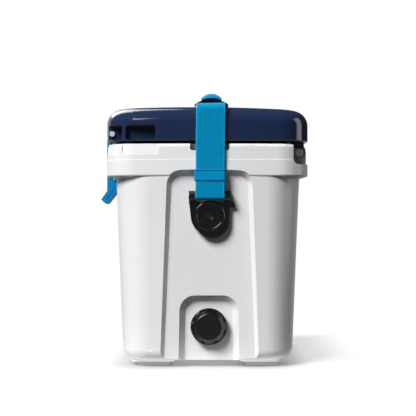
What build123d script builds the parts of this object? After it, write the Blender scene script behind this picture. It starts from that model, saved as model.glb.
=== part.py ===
"""Small hard cooler: double-walled body, hinged lid, front latch, carry strap and drain.

X runs along the length, Y from front (latch) to rear (hinges), Z up from the floor.
The origin is on the floor under the middle of the whole outline.
Every sketch is placed from the cooler's own middle plane, which stands mid_y behind
the origin, because the latch tongue reaches further forward than anything does aft.
"""
from build123d import *
from math import cos, radians, sin, sqrt, tan
import os

os.makedirs("parts", exist_ok=True)

# ---------------------------------------------------------------- driving dimensions
# main sizes
collar_length = 375.0   # over the bowed ends
collar_width = 293.0
collar_top = 320.8      # above the floor
collar_height = 46.8
lid_gap = 3.9           # open line between collar and lid, filled further in by the gasket
lid_height = 49.0       # to the highest line of its crown
floor_z = 10.0          # underside of the moulded body

# collar and lid outline
end_bow = 12.0          # how far the ends bulge at their middle
collar_corner = 50.0
collar_edge = 5.0       # rounding of the collar's top edge
collar_lip_edge = 3.0   # rounding of its lower edge
band_height = 23.8      # the lower band of the collar stands proud of the upper one
band_step = 0.5
grip_height = 15.9      # shallow relief under the finger pocket
grip_depth = 2.2
grip_margin = 5.0       # relief wider than the pocket

# body under the collar
overhang = 12.5         # collar in front of the body wall
end_step = 1.0          # collar in front of the body wall at the middle of an end
body_corner = 55.0
body_bow = 12.0
body_aft = 0.7          # body's middle behind the collar's
draft = 2.3             # degrees that every body wall leans in
bottom_edge = 16.0
bevel_drop = 8.0        # slope under the collar, at the ends
bevel_run = 30.0        # how far the same drop reaches inwards at front and rear

# walls and clearances
wall = 3.5              # outer shell
liner_wall = 3.0
seam = 0.3              # clearance between moulded pieces that drop into one another
run = 0.3               # clearance between pieces that move past each other
pin_run = 0.05          # radial clearance of a pin in its eye
past = 20.0             # how far a cutting shape runs past what it cuts

# food tub
tub_side_x = 42.5       # collar outline to the tub's mouth, at the ends
tub_side_y = 40.5       # and at front and rear
tub_corner = 30.0
tub_base = 24.0         # tub floor above the underside
tub_draft = 1.5
tub_edge = 9.0

# end fittings: strap recess, drain niche
fitting_y = 3.5         # the strap and its recess sit a little aft of the middle
panel_depth = 9.0
panel_over = 0.5        # recess above the collar's lower edge
panel_top_half = 54.2
panel_low_half = 67.0
panel_corner = 13.0
panel_slope = 45.0      # of the recess's border, in degrees
niche_depth = 9.5
niche_over = 36.5       # niche above the drain
niche_half = 33.5
niche_low_half = 35.5
niche_corner = 14.0
niche_slope = 42.0
drain_y = 2.3
drain_rise = 25.0       # drain above the tub floor

# tie-down notch in the collar behind the strap
notch_width = 56.0
notch_height = 10.0
notch_depth = 18.0
notch_corner = 4.0

# lid
lid_edge = 22.0         # rounding all round the top
lid_front_drop = 2.5    # crown: how far the top falls to the front edge
lid_rear_drop = 4.5     # and to the rear edge
lid_bottom_edge = 1.5
lid_wall = 3.5
lid_core_side_x = 39.5  # outline to the foam-filled middle of the lid
lid_core_side_y = 34.5
lid_core_corner = 24.0
lid_panel = 3.0         # inner panel
plug_depth = 9.0        # how far the inner panel reaches into the tub
plug_gap = 1.5
plug_edge = 4.0
gasket_out = 3.0        # gasket's inner edge outside the tub's mouth
gasket_width = 6.0
gasket_edge = 1.2
pocket_wall = 5.4       # web between rod box and finger pocket
rod_box_depth = 35.5    # box at each end of the latch rod
rod_box_behind = 15.4   # behind the rod
box_bottom = 1.6        # lip under the rod box and finger pocket
box_height = 21.0
finger_width = 42.2
finger_depth = 18.0
finger_corner = 3.5

# hinges
hinge_in = 13.5         # pin inside the collar's rear face
hinge_down = 11.8       # pin under the collar's top
hinge_end = 63.5        # hinge's middle from the collar's end
hinge_eye = 8.0
hinge_eye_width = 24.0
hinge_cheek = 11.0
hinge_block_front = 9.8  # block in front of the pin
hinge_block_rear = 10.0
hinge_block_top = 7.3
hinge_block_drop = 17.2
hinge_block_round = 8.0
hinge_block_edge = 7.0
hinge_gap = 2.2         # between the turning eye and its block
hinge_plate = 3.8       # the lug's foot plate under the lid
hinge_pin = 3.0
hinge_head = 5.3
hinge_head_height = 2.6
socket_key = 2.4        # hexagon socket
screw_head = 3.2
screw_sink = 1.8        # height of a screw's head
screw_shank = 1.8
screw_aside = 17.5      # each hinge screw beside its hinge's middle
screw_grip = 11.5       # length in the lid
block_screw_drop = 13.2  # block screws under the pin

# latch
pin_in = 9.3            # rod behind the collar's front face
pin_up = 10.9           # rod above the lid's lower edge
rod_radius = 3.0
rod_head = 4.0
rod_head_height = 3.5
latch_width = 58.0
latch_barrel = 19.5     # reach of the latch's head round the rod
latch_arm_up = 8.0
latch_arm_down = 7.5
latch_eye = 8.0
latch_standoff = 8.7   # front of the latch in front of the collar
latch_lean = 1.6       # how far the open lever leans past level, across the lid's front
latch_band = 5.4
latch_edge = 1.2
hook_depth = 18.0       # height of the hook block under the collar
hook_reach = 6.4        # how far the hook grips behind the collar's face
tongue_reach = 18.2     # tip of the tongue in front of the collar
tongue_drop = 13.3      # outer corner of the tip under the hook block
tongue_back = 8.2       # inner corner of the tip behind the outer one
tongue_low = 20.8       # and under the hook block
tongue_groove = 0.6

# strap and its brackets
strap_width = 41.0
strap_thickness = 2.0
strap_standoff = 3.0    # webbing in front of the collar's end
strap_bend = 9.0
strap_lift = 1.6        # webbing above the lid's highest line
sewn_over = 4.5         # sewn end above the recess
sewn_length = 17.0
sewn_turn = 6.0
keeper_over = 1.2       # loop that keeps the sewn end tidy, beside the webbing
keeper_height = 16.2
keeper_wall = 0.8
keeper_low = 6.5        # its lower edge under the collar
fold_width = 28.5       # webbing folded over the slider
fold_height = 6.5
fold_half = 12.0
pivot_down = 56.3       # button under the collar
bracket_plate = 5.0
bracket_width = 59.6
bracket_round = 27.0
bracket_lobe = 24.4     # lower lobe, aside and below the button
bracket_lobe_y = 3.5
bracket_lobe_z = 7.2
bracket_top = 35.7      # over the pivot
bracket_head = 12.0     # height of its straight top
bracket_sill = 19.0     # lower edge of the webbing's window over the pivot
ear_gap = 0.6           # ear beside the webbing
ear_round = 5.2
ear_root = 18.0
stop_reach = 37.1       # stop lug on the rear ear, from the pivot
stop_top = 31.6
stop_low = 12.4
bar_height = 27.3       # over the pivot
bar_radius = 2.9
bar_run = 0.1           # webbing round the bar
button_radius = 21.5
button_thickness = 5.0
button_edge = 1.5
button_rim = 2.0
button_dish = 0.8
button_shank = 8.0
button_web = 1.0        # under the screw's head
button_screw = 5.0
button_screw_height = 3.0
button_key = 2.6
washer_radius = 12.0
slider_in = 35.5        # slider from the collar's end
slider_length = 27.0
slider_bar = 3.0
slider_front = 1.1      # frame beside the webbing
slider_rear = 6.0
slider_height = 10.4    # at its middle
slider_edge = 3.0       # at its sides
slider_corner = 4.0

# drain
spout_radius = 13.0
spout_bore = 9.0
spout_flange = 26.0
spout_lift = 3.5        # flange in front of the niche
ring_thickness = 2.0
ring_width = 4.0
cap_radius = 26.3
cap_rim = 3.0
cap_cone = 25.0
cap_cone_slope = 36.0
cap_height = 12.0
cap_flutes = 8          # finger grips round the cone
cap_flute = 6.0
cap_flute_out = 28.0    # their middles from the cap's
cap_edge = 1.0
cap_plug = 8.6
cap_plug_run = 0.1
cap_plug_length = 14.0
nut_radius = 17.0
nut_height = 9.0

# feet
foot_in_x = 69.5
foot_in_y = 67.5
foot_half_x = 30.0
foot_half_y = 32.0
foot_corner = 12.0
foot_pad = 6.0
foot_step_x = 2.0       # pad inside its boss
foot_step_y = 5.0
foot_slope = 40.0       # of the pad's sides
foot_screw_up = 3.0     # screw head above the floor
foot_screw_grip = 8.0

# ---------------------------------------------------------------- derived places
mid_y = tongue_reach / 2
collar_bottom = collar_top - collar_height
lid_bottom = collar_top + lid_gap
lid_top = lid_bottom + lid_height
half_length = collar_length / 2
half_width = collar_width / 2
body_half_width = half_width - overhang
body_half_length = half_length - end_step
front_y = -half_width
lean = tan(radians(draft))
panel_x = body_half_length - panel_depth       # at the height of the collar's lower edge
panel_top = collar_bottom + panel_over
tub_top = collar_top
tub_length = collar_length - 2 * tub_side_x
tub_width = collar_width - 2 * tub_side_y
tub_floor = floor_z + tub_base
drain_z = tub_floor + drain_rise
lid_core_half_x = half_length - lid_core_side_x
lid_core_half_y = half_width - lid_core_side_y
hinge_y = half_width - hinge_in
hinge_z = collar_top - hinge_down
hinge_center = half_length - hinge_end
hinge_screws = [side * hinge_center + hand * screw_aside for side in (1, -1) for hand in (1, -1)]
block_screw_z = hinge_z - block_screw_drop
pin_y = front_y + pin_in
pin_z = lid_bottom + pin_up
rod_box_x = half_length - rod_box_depth
rod_box_rear = pin_y + rod_box_behind
finger_x = half_length - finger_depth
finger_y = rod_box_rear + pocket_wall + finger_width / 2
pivot_z = collar_bottom - pivot_down
foot_x = half_length - foot_in_x
foot_y = half_width - foot_in_y
foot_boss = foot_pad


def panel_at(z, depth=0.0):
    """Distance of the recess floor from the middle of the length at a height."""
    return panel_x - depth - (collar_bottom - z) * lean


# ---------------------------------------------------------------- planes and outlines
def level(z, y=0.0):
    """Horizontal plane at a height, on the cooler's middle plane."""
    return Plane(origin=(0, mid_y + y, z))


def section(x):
    """Plane across the cooler, seen along -X: sketch x is depth, sketch y is height."""
    return Plane(origin=(x, mid_y, 0), x_dir=(0, 1, 0), z_dir=(1, 0, 0))


def lengthwise(y):
    """Plane along the cooler, seen from the front: sketch x is length, sketch y is height."""
    return Plane(origin=(0, mid_y + y, 0), x_dir=(1, 0, 0), z_dir=(0, -1, 0))


def end_plane(side, depth):
    """Plane parallel to the leaning end wall, depth under it, with sketch y up the wall."""
    along = radians(draft)
    return Plane(
        origin=(side * (body_half_length - depth), mid_y + fitting_y, collar_bottom),
        x_dir=(0, side, 0),
        z_dir=(side * cos(along), 0, -sin(along)),
    )


def outline(plane, length, width, bow, corner):
    """Rounded rectangle with bowed ends; length is measured over the bow."""
    half_x = length / 2 - bow
    half_y = width / 2
    with BuildSketch(plane) as shape:
        with BuildLine():
            Line((-half_x, -half_y), (half_x, -half_y))
            ThreePointArc((half_x, -half_y), (half_x + bow, 0), (half_x, half_y))
            Line((half_x, half_y), (-half_x, half_y))
            ThreePointArc((-half_x, half_y), (-half_x - bow, 0), (-half_x, -half_y))
        make_face()
        fillet(shape.vertices(), corner)
    return shape.sketch


def collar_outline(z, inset):
    """The collar's and the lid's outline, moved in by inset."""
    length = collar_length - 2 * inset
    width = collar_width - 2 * inset
    return outline(level(z), length, width, end_bow, collar_corner - inset)


def body_outline(z, inset):
    """The leaning body's outline at a height, moved in by inset."""
    inward = inset + (collar_bottom - z) * lean
    length = 2 * (body_half_length - inward)
    width = 2 * (body_half_width - inward)
    return outline(level(z, body_aft), length, width, body_bow, body_corner - inward)


def drain_disc(x, *shapes):
    """A sketch across the cooler at the drain: a disc, or a ring where a second radius is given."""
    with BuildSketch(section(x)) as disc:
        with Locations((drain_y, drain_z)):
            Circle(shapes[0])
            for hole in shapes[1:]:
                Circle(hole, mode=Mode.SUBTRACT)
    return disc.sketch


def pivot_disc(x, *shapes):
    """The same about the strap's pivot."""
    with BuildSketch(section(x)) as disc:
        with Locations((fitting_y, pivot_z)):
            Circle(shapes[0])
            for hole in shapes[1:]:
                Circle(hole, mode=Mode.SUBTRACT)
    return disc.sketch


def edges_at(part, z):
    """Every edge of a part that lies at one height."""
    return part.edges().filter_by_position(Axis.Z, z - 0.01, z + 0.01)


def cut_recess(side, extra):
    """Strap recess in one end, and the drain niche in the +X end, grown by extra."""
    foot = -past - collar_bottom
    top = panel_over + extra
    low = panel_low_half + extra
    high = panel_top_half + extra
    with BuildSketch(end_plane(side, panel_depth + extra)) as panel:
        Polygon((-low, foot), (low, foot), (high, top), (-high, top), align=None)
        fillet(panel.vertices().group_by(Axis.Y)[-1], panel_corner + extra)
    extrude(panel.sketch, amount=panel_depth + past, taper=-panel_slope, mode=Mode.SUBTRACT)
    if side < 0:
        return
    aside = drain_y - fitting_y
    top = drain_z + niche_over - collar_bottom + extra
    low = niche_low_half + extra
    high = niche_half + extra
    with BuildSketch(end_plane(side, panel_depth + niche_depth + extra)) as niche:
        Polygon((aside - low, foot), (aside + low, foot), (aside + high, top), (aside - high, top), align=None)
        fillet(niche.vertices().group_by(Axis.Y)[-1], niche_corner + extra)
    extrude(niche.sketch, amount=niche_depth + past, taper=-niche_slope, mode=Mode.SUBTRACT)


def cut_notches(side, extra):
    """Tie-down notch behind the strap and hinge cut-out at the rear corner of one end."""
    with BuildSketch(section(side * (half_length + past))) as notch:
        with Locations((fitting_y, collar_top)):
            width = notch_width + 2 * extra
            RectangleRounded(width, 2 * (notch_height + extra), notch_corner + extra)
    extrude(notch.sketch, amount=-side * (past + notch_depth + extra), mode=Mode.SUBTRACT)
    inner = hinge_center - hinge_eye_width / 2 - hinge_cheek - seam - extra
    front = hinge_y - hinge_block_front - extra
    low = hinge_z - hinge_block_drop - extra
    back = half_width + past
    high = collar_top + past
    with BuildSketch(section(side * inner)) as corner:
        Polygon((front, low), (back, low), (back, high), (front, high), align=None)
        fillet(corner.vertices().group_by(Axis.Y)[0].sort_by(Axis.X)[0], hinge_block_round)
    extrude(corner.sketch, amount=side * collar_length, mode=Mode.SUBTRACT)


# ---------------------------------------------------------------- body shell
with BuildPart() as body_wall:
    loft([body_outline(collar_bottom + bevel_drop, 0), body_outline(floor_z, 0)], ruled=True)
    fillet(edges_at(body_wall, floor_z), bottom_edge)

with BuildPart() as body_hollow:
    extrude(collar_outline(collar_bottom + wall, wall), amount=collar_height - wall)
    loft([body_outline(collar_bottom + bevel_drop, wall), body_outline(floor_z + wall, wall)], ruled=True)
    fillet(edges_at(body_hollow, floor_z + wall), bottom_edge - wall)
    for side in (1, -1):
        cut_recess(side, wall)
        cut_notches(side, wall)

# shallow reliefs under the finger pockets, a skin of the collar that thickens upwards
with BuildPart() as grip_relief:
    low = collar_top - grip_height
    extrude(collar_outline(low, -1), amount=grip_height)
    slant = [collar_outline(low, band_step), collar_outline(collar_top, band_step + grip_depth)]
    loft(slant, ruled=True, mode=Mode.SUBTRACT)
    with BuildSketch(section(-half_length - past)) as reach:
        with Locations((front_y + past - collar_width / 2, collar_top)):
            Rectangle(collar_width, 2 * grip_height)
        with Locations((finger_y, collar_top)):
            RectangleRounded(finger_width + 2 * grip_margin, 2 * grip_height, finger_corner)
    extrude(reach.sketch, amount=collar_length + 2 * past, mode=Mode.INTERSECT)
    with BuildSketch(level(collar_top - grip_height)):
        Rectangle(2 * hinge_center, 2 * collar_width)
    extrude(amount=2 * grip_height, mode=Mode.SUBTRACT)

with BuildPart() as body_shell:
    extrude(collar_outline(collar_bottom + band_height, band_step), amount=collar_height - band_height)
    fillet(edges_at(body_shell, collar_top), collar_edge)
    extrude(collar_outline(collar_bottom, 0), amount=band_height)
    fillet(edges_at(body_shell, collar_bottom), collar_lip_edge)
    # slope under the collar, steep at the ends and shallow at front and rear
    inset = collar_lip_edge + bevel_drop
    width = collar_width - 2 * (collar_lip_edge + bevel_run)
    foot = outline(level(collar_bottom - bevel_drop), collar_length - 2 * inset, width, end_bow, collar_corner - inset)
    loft([collar_outline(collar_bottom, collar_lip_edge), foot], ruled=True)
    # the bevel gives way to the latch hook
    with BuildSketch(level(collar_bottom - bevel_drop)):
        with Locations((0, front_y)):
            Rectangle(latch_width + 6, 2 * overhang)
    extrude(amount=bevel_drop, mode=Mode.SUBTRACT)
    add(body_wall.part)
    for side in (1, -1):
        cut_recess(side, 0)
        cut_notches(side, 0)
    add(grip_relief.part, mode=Mode.SUBTRACT)
    add(body_hollow.part, mode=Mode.SUBTRACT)
    # feet bosses
    with BuildSketch(level(floor_z + wall)):
        with GridLocations(2 * foot_x, 2 * foot_y, 2, 2):
            RectangleRounded(2 * foot_half_x, 2 * foot_half_y, foot_corner)
    extrude(amount=foot_boss - floor_z - wall, taper=8)
    # drain hole
    extrude(drain_disc(0, spout_radius + seam), amount=half_length, mode=Mode.SUBTRACT)
    # screw holes of the strap pivots, the feet and the hinge blocks
    extrude(pivot_disc(0, screw_shank), amount=half_length, both=True, mode=Mode.SUBTRACT)
    with BuildSketch(level(foot_boss)):
        with GridLocations(2 * foot_x, 2 * foot_y, 2, 2):
            Circle(screw_shank)
    extrude(amount=floor_z + wall - foot_boss + past, mode=Mode.SUBTRACT)
    with BuildSketch(lengthwise(hinge_y)) as block_holes:
        with Locations([(x, block_screw_z) for x in hinge_screws]):
            Circle(screw_shank)
    extrude(block_holes.sketch, amount=hinge_block_front + wall - seam, mode=Mode.SUBTRACT)
body_shell.part.label = "body_shell"
export_step(body_shell.part, "parts/body_shell.step")


# ---------------------------------------------------------------- food tub
def tub_outline(z, grow):
    """Rounded rectangle of the tub's mouth, grown by grow."""
    with BuildSketch(level(z)) as mouth:
        RectangleRounded(tub_length + 2 * grow, tub_width + 2 * grow, tub_corner + grow)
    return mouth.sketch


with BuildPart() as tub_outside:
    extrude(tub_outline(tub_top, liner_wall), amount=tub_floor - liner_wall - tub_top, taper=tub_draft)
    fillet(edges_at(tub_outside, tub_floor - liner_wall), tub_edge + liner_wall)

with BuildPart() as tub_inside:
    extrude(tub_outline(tub_top, 0), amount=tub_floor - tub_top, taper=tub_draft)
    fillet(edges_at(tub_inside, tub_floor), tub_edge)

with BuildPart() as body_liner:
    extrude(collar_outline(tub_top - liner_wall, wall + seam), amount=liner_wall)
    for side in (1, -1):
        cut_notches(side, wall + seam)
    add(tub_outside.part)
    add(tub_inside.part, mode=Mode.SUBTRACT)
    extrude(drain_disc(0, spout_radius + seam), amount=half_length, mode=Mode.SUBTRACT)
body_liner.part.label = "body_liner"
export_step(body_liner.part, "parts/body_liner.step")

with BuildPart() as body_foam:
    add(body_hollow.part)
    with BuildSketch(level(tub_top - liner_wall)):
        Rectangle(2 * collar_length, 2 * collar_width)
    extrude(amount=2 * liner_wall, mode=Mode.SUBTRACT)
    add(tub_outside.part, mode=Mode.SUBTRACT)
    extrude(drain_disc(0, spout_radius + seam), amount=half_length, mode=Mode.SUBTRACT)
    with BuildSketch(level(floor_z)):
        with GridLocations(2 * foot_x, 2 * foot_y, 2, 2):
            Circle(screw_shank)
    extrude(amount=foot_screw_grip, mode=Mode.SUBTRACT)
body_foam.part.label = "body_foam"
export_step(body_foam.part, "parts/body_foam.step")


# ---------------------------------------------------------------- lid
def lid_prism(inset, lowest):
    """Crowned lid shape, moved in by inset and standing on lowest, with a rounded top."""
    with BuildPart() as form:
        extrude(collar_outline(lowest, inset), amount=lid_top - lowest)
        with BuildSketch(section(-half_length)) as crown:
            with BuildLine():
                front = (-half_width, lid_top - lid_front_drop - inset)
                rear = (half_width, lid_top - lid_rear_drop - inset)
                ThreePointArc(front, (0, lid_top - inset), rear)
                Polyline(rear, (half_width, lowest), (-half_width, lowest), front)
            make_face()
        extrude(crown.sketch, amount=collar_length, mode=Mode.INTERSECT)
        rim = form.faces().sort_by(Axis.Z)[-1].edges()
        fillet(rim, lid_edge - inset)
    return form.part


def cut_lid_end(side):
    """Rod box at the front corner and finger pocket beside it, in one end of the lid."""
    low = lid_bottom + box_bottom
    high = low + box_height
    with BuildSketch(section(side * rod_box_x)) as rod_box:
        open_y = front_y - past
        Polygon((open_y, low), (rod_box_rear, low), (rod_box_rear, high), (open_y, high), align=None)
    extrude(rod_box.sketch, amount=side * (rod_box_depth + past), mode=Mode.SUBTRACT)
    with BuildSketch(section(side * finger_x)) as finger:
        with Locations((finger_y, (low + high) / 2)):
            RectangleRounded(finger_width, box_height, finger_corner)
    extrude(finger.sketch, amount=side * (finger_depth + past), mode=Mode.SUBTRACT)


def rod_disc(x, radius):
    """A disc across the cooler, about the latch rod."""
    with BuildSketch(section(x)) as disc:
        with Locations((pin_y, pin_z)):
            Circle(radius)
    return disc.sketch


def screw_discs(plane, across, radius):
    """Four discs on the hinge screws' lines."""
    with BuildSketch(plane) as discs:
        with Locations([(x, across) for x in hinge_screws]):
            Circle(radius)
    return discs.sketch


with BuildPart() as lid_core:
    add(lid_prism(lid_wall, lid_bottom))
    with BuildSketch(level(lid_bottom)):
        RectangleRounded(2 * lid_core_half_x, 2 * lid_core_half_y, lid_core_corner)
    extrude(amount=lid_height, mode=Mode.INTERSECT)

with BuildPart() as lid_shell:
    add(lid_prism(0, lid_bottom))
    fillet(edges_at(lid_shell, lid_bottom), lid_bottom_edge)
    add(lid_core.part, mode=Mode.SUBTRACT)
    for side in (1, -1):
        cut_lid_end(side)
    # pocket in which the latch turns, with room for the open lever
    swing = sqrt((pin_in + latch_standoff) ** 2 + (pin_in + latch_lean) ** 2)
    pocket = rod_disc(0, swing + run)
    extrude(pocket, amount=latch_width / 2 + run, both=True, mode=Mode.SUBTRACT)
    extrude(rod_disc(0, rod_radius + pin_run), amount=half_length, both=True, mode=Mode.SUBTRACT)
    holes = screw_discs(level(lid_bottom, hinge_y), 0, screw_shank)
    extrude(holes, amount=screw_grip + seam, mode=Mode.SUBTRACT)
lid_shell.part.label = "lid_shell"
export_step(lid_shell.part, "parts/lid_shell.step")

plug_low = collar_top - plug_depth
with BuildPart() as lid_liner:
    with BuildSketch(level(lid_bottom)):
        panel_x_size = 2 * (lid_core_half_x - seam)
        panel_y_size = 2 * (lid_core_half_y - seam)
        RectangleRounded(panel_x_size, panel_y_size, lid_core_corner - seam)
    extrude(amount=lid_panel)
    extrude(tub_outline(lid_bottom, -plug_gap), amount=plug_low - lid_bottom)
    fillet(edges_at(lid_liner, plug_low), plug_edge)
    pan = tub_outline(plug_low + lid_panel, -plug_gap - lid_panel)
    extrude(pan, amount=lid_bottom - plug_low, mode=Mode.SUBTRACT)
lid_liner.part.label = "lid_liner"
export_step(lid_liner.part, "parts/lid_liner.step")

with BuildPart() as lid_foam:
    add(lid_core.part)
    with BuildSketch(level(lid_bottom)):
        Rectangle(2 * collar_length, 2 * collar_width)
    extrude(amount=lid_panel, mode=Mode.SUBTRACT)
    extrude(tub_outline(plug_low + lid_panel, -plug_gap - lid_panel), amount=lid_bottom - plug_low)
lid_foam.part.label = "lid_foam"
export_step(lid_foam.part, "parts/lid_foam.step")

with BuildPart() as lid_gasket:
    extrude(tub_outline(collar_top + run, gasket_out + gasket_width), amount=lid_gap - run)
    fillet(edges_at(lid_gasket, collar_top + run), gasket_edge)
    extrude(tub_outline(collar_top + run, gasket_out), amount=lid_gap - run, mode=Mode.SUBTRACT)
lid_gasket.part.label = "lid_gasket"
export_step(lid_gasket.part, "parts/lid_gasket.step")

# ---------------------------------------------------------------- hinges
block_half = hinge_eye_width / 2 + hinge_cheek
block_back = hinge_y + hinge_block_rear


def hinge_disc(x, radius):
    """A disc across the cooler, about the hinge pins."""
    with BuildSketch(section(x)) as disc:
        with Locations((hinge_y, hinge_z)):
            Circle(radius)
    return disc.sketch


with BuildPart() as hinge_blocks:
    for side in (1, -1):
        with BuildSketch(section(side * hinge_center)) as block:
            front = hinge_y - hinge_block_front
            low = hinge_z - hinge_block_drop
            high = hinge_z + hinge_block_top
            Polygon((front, low), (block_back, low), (block_back, high), (front, high), align=None)
            fillet(block.vertices().group_by(Axis.Y)[-1].sort_by(Axis.X)[-1], hinge_block_edge)
            fillet(block.vertices().group_by(Axis.Y)[0].sort_by(Axis.X)[0], hinge_block_round)
            with Locations((hinge_y, hinge_z)):
                Circle(hinge_pin + pin_run, mode=Mode.SUBTRACT)
        extrude(block.sketch, amount=block_half, both=True)
        # room for the turning eye
        with BuildSketch(section(side * hinge_center)) as room:
            low = hinge_z - hinge_eye - hinge_gap
            front -= past
            Polygon((front, low), (block_back, low), (block_back, high), (front, high), align=None)
        extrude(room.sketch, amount=hinge_eye_width / 2 + run, both=True, mode=Mode.SUBTRACT)
    sinks = screw_discs(lengthwise(block_back), block_screw_z, screw_head)
    extrude(sinks, amount=screw_sink + button_dish, mode=Mode.SUBTRACT)
    shanks = screw_discs(lengthwise(block_back), block_screw_z, screw_shank)
    extrude(shanks, amount=past, mode=Mode.SUBTRACT)
hinge_blocks.part.label = "hinge_blocks"
export_step(hinge_blocks.part, "parts/hinge_blocks.step")

plate_z = lid_bottom - hinge_plate
with BuildPart() as hinge_lugs:
    for side in (1, -1):
        # foot plate under the lid
        with BuildSketch(level(lid_bottom, hinge_y)) as plate:
            with Locations((side * hinge_center, -seam)):
                RectangleRounded(2 * (block_half - 1), 2 * (hinge_eye - seam), 3)
        extrude(plate.sketch, amount=-hinge_plate)
        # eye and neck
        with BuildSketch(section(side * hinge_center)) as eye:
            with Locations((hinge_y, hinge_z)):
                Circle(hinge_eye)
            with Locations((hinge_y, (hinge_z + plate_z) / 2)):
                Rectangle(2 * hinge_eye, plate_z - hinge_z)
            with Locations((hinge_y, hinge_z)):
                Circle(hinge_pin + pin_run, mode=Mode.SUBTRACT)
        extrude(eye.sketch, amount=hinge_eye_width / 2, both=True)
    extrude(screw_discs(level(plate_z, hinge_y), 0, screw_head), amount=screw_sink, mode=Mode.SUBTRACT)
    extrude(screw_discs(level(plate_z, hinge_y), 0, screw_shank), amount=hinge_plate, mode=Mode.SUBTRACT)
hinge_lugs.part.label = "hinge_lugs"
export_step(hinge_lugs.part, "parts/hinge_lugs.step")

with BuildPart() as lug_screws:
    extrude(screw_discs(level(plate_z, hinge_y), 0, screw_head), amount=screw_sink)
    extrude(screw_discs(level(plate_z, hinge_y), 0, screw_shank), amount=hinge_plate + screw_grip)
lug_screws.part.label = "lug_screws"
export_step(lug_screws.part, "parts/lug_screws.step")

with BuildPart() as hinge_pins:
    for side in (1, -1):
        outer = side * (hinge_center + block_half)
        extrude(hinge_disc(outer, hinge_pin), amount=-side * 2 * block_half)
        extrude(hinge_disc(outer, hinge_head), amount=side * hinge_head_height)
        with BuildSketch(section(outer + side)) as socket:
            with Locations((hinge_y, hinge_z)):
                RegularPolygon(socket_key, 6)
        extrude(socket.sketch, amount=side * hinge_head_height, mode=Mode.SUBTRACT)
hinge_pins.part.label = "hinge_pins"
export_step(hinge_pins.part, "parts/hinge_pins.step")

with BuildPart() as block_screws:
    heads = screw_discs(lengthwise(block_back - button_dish), block_screw_z, screw_head)
    extrude(heads, amount=screw_sink)
    shanks = screw_discs(lengthwise(block_back - button_dish), block_screw_z, screw_shank)
    reach = hinge_block_front + hinge_block_rear + wall - 2 * seam - button_dish
    extrude(shanks, amount=reach)
block_screws.part.label = "block_screws"
export_step(block_screws.part, "parts/block_screws.step")

# ---------------------------------------------------------------- latch
with BuildPart() as latch_rod:
    extrude(rod_disc(0, rod_radius), amount=rod_box_x, both=True)
    for side in (1, -1):
        extrude(rod_disc(side * rod_box_x, rod_head), amount=side * rod_head_height)
    rims = latch_rod.edges().filter_by(GeomType.CIRCLE).group_by(Axis.X)
    fillet(rims[-1] + rims[0], 1)
latch_rod.part.label = "latch_rod"
export_step(latch_rod.part, "parts/latch_rod.step")

latch_front = front_y - latch_standoff
latch_back = latch_front + latch_band
hook_top = collar_bottom - 2 * run
hook_low = hook_top - hook_depth
hook_back = front_y + hook_reach
tip_y = front_y - tongue_reach
with BuildPart() as latch:
    # arm from the rod to the front, its upper corner rounded about the rod
    with BuildSketch(section(0)) as arm:
        with Locations((pin_y, pin_z)):
            Circle(latch_barrel)
        with Locations(((latch_front + pin_y) / 2, pin_z + (latch_arm_up - latch_arm_down) / 2)):
            Rectangle(pin_y - latch_front, latch_arm_up + latch_arm_down, mode=Mode.INTERSECT)
        with Locations((pin_y, pin_z)):
            Circle(latch_eye)
    with BuildSketch(section(0)) as lever:
        Polygon(
            (latch_front, pin_z),
            (latch_front, hook_low),
            (tip_y, hook_low - tongue_drop),
            (tip_y + tongue_back, hook_low - tongue_low),
            (hook_back, hook_low),
            (hook_back, hook_top),
            (latch_back, hook_top),
            (latch_back, pin_z),
            align=None,
        )
        fillet(lever.vertices(), latch_edge)
        add(arm.sketch_local)
        with Locations((pin_y, pin_z)):
            Circle(rod_radius + pin_run, mode=Mode.SUBTRACT)
    extrude(lever.sketch, amount=latch_width / 2, both=True)
    # groove along each flank of the tongue
    for side in (1, -1):
        with BuildSketch(section(side * latch_width / 2)) as groove:
            with BuildLine():
                start = (hook_back - 2 * tongue_groove, hook_low + hook_depth / 4)
                Line(start, (tip_y + tongue_back, hook_low - tongue_drop))
            trace(line_width=2 * tongue_groove)
        extrude(groove.sketch, amount=-side * tongue_groove, mode=Mode.SUBTRACT)
latch.part.label = "latch"
export_step(latch.part, "parts/latch.step")

# ---------------------------------------------------------------- carry strap
web_x = half_length + strap_standoff + strap_thickness / 2      # middle of the webbing's thickness
web_top = lid_top + strap_lift + strap_thickness / 2
bar_x = half_length + strap_standoff - bar_radius - bar_run
bar_z = pivot_z + bar_height
loop = bar_radius + bar_run + strap_thickness / 2
sewn_top = panel_top + sewn_over
sewn_low = sewn_top - sewn_length
sewn_x = web_x - strap_thickness + bar_run
bracket_reach = sqrt((bracket_width / 2) ** 2 + bracket_top ** 2)
bracket_x = panel_at(pivot_z + bracket_reach) + run
ear_inner = strap_width / 2 + ear_gap
ear_x = bracket_x + bracket_plate / 2

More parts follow.
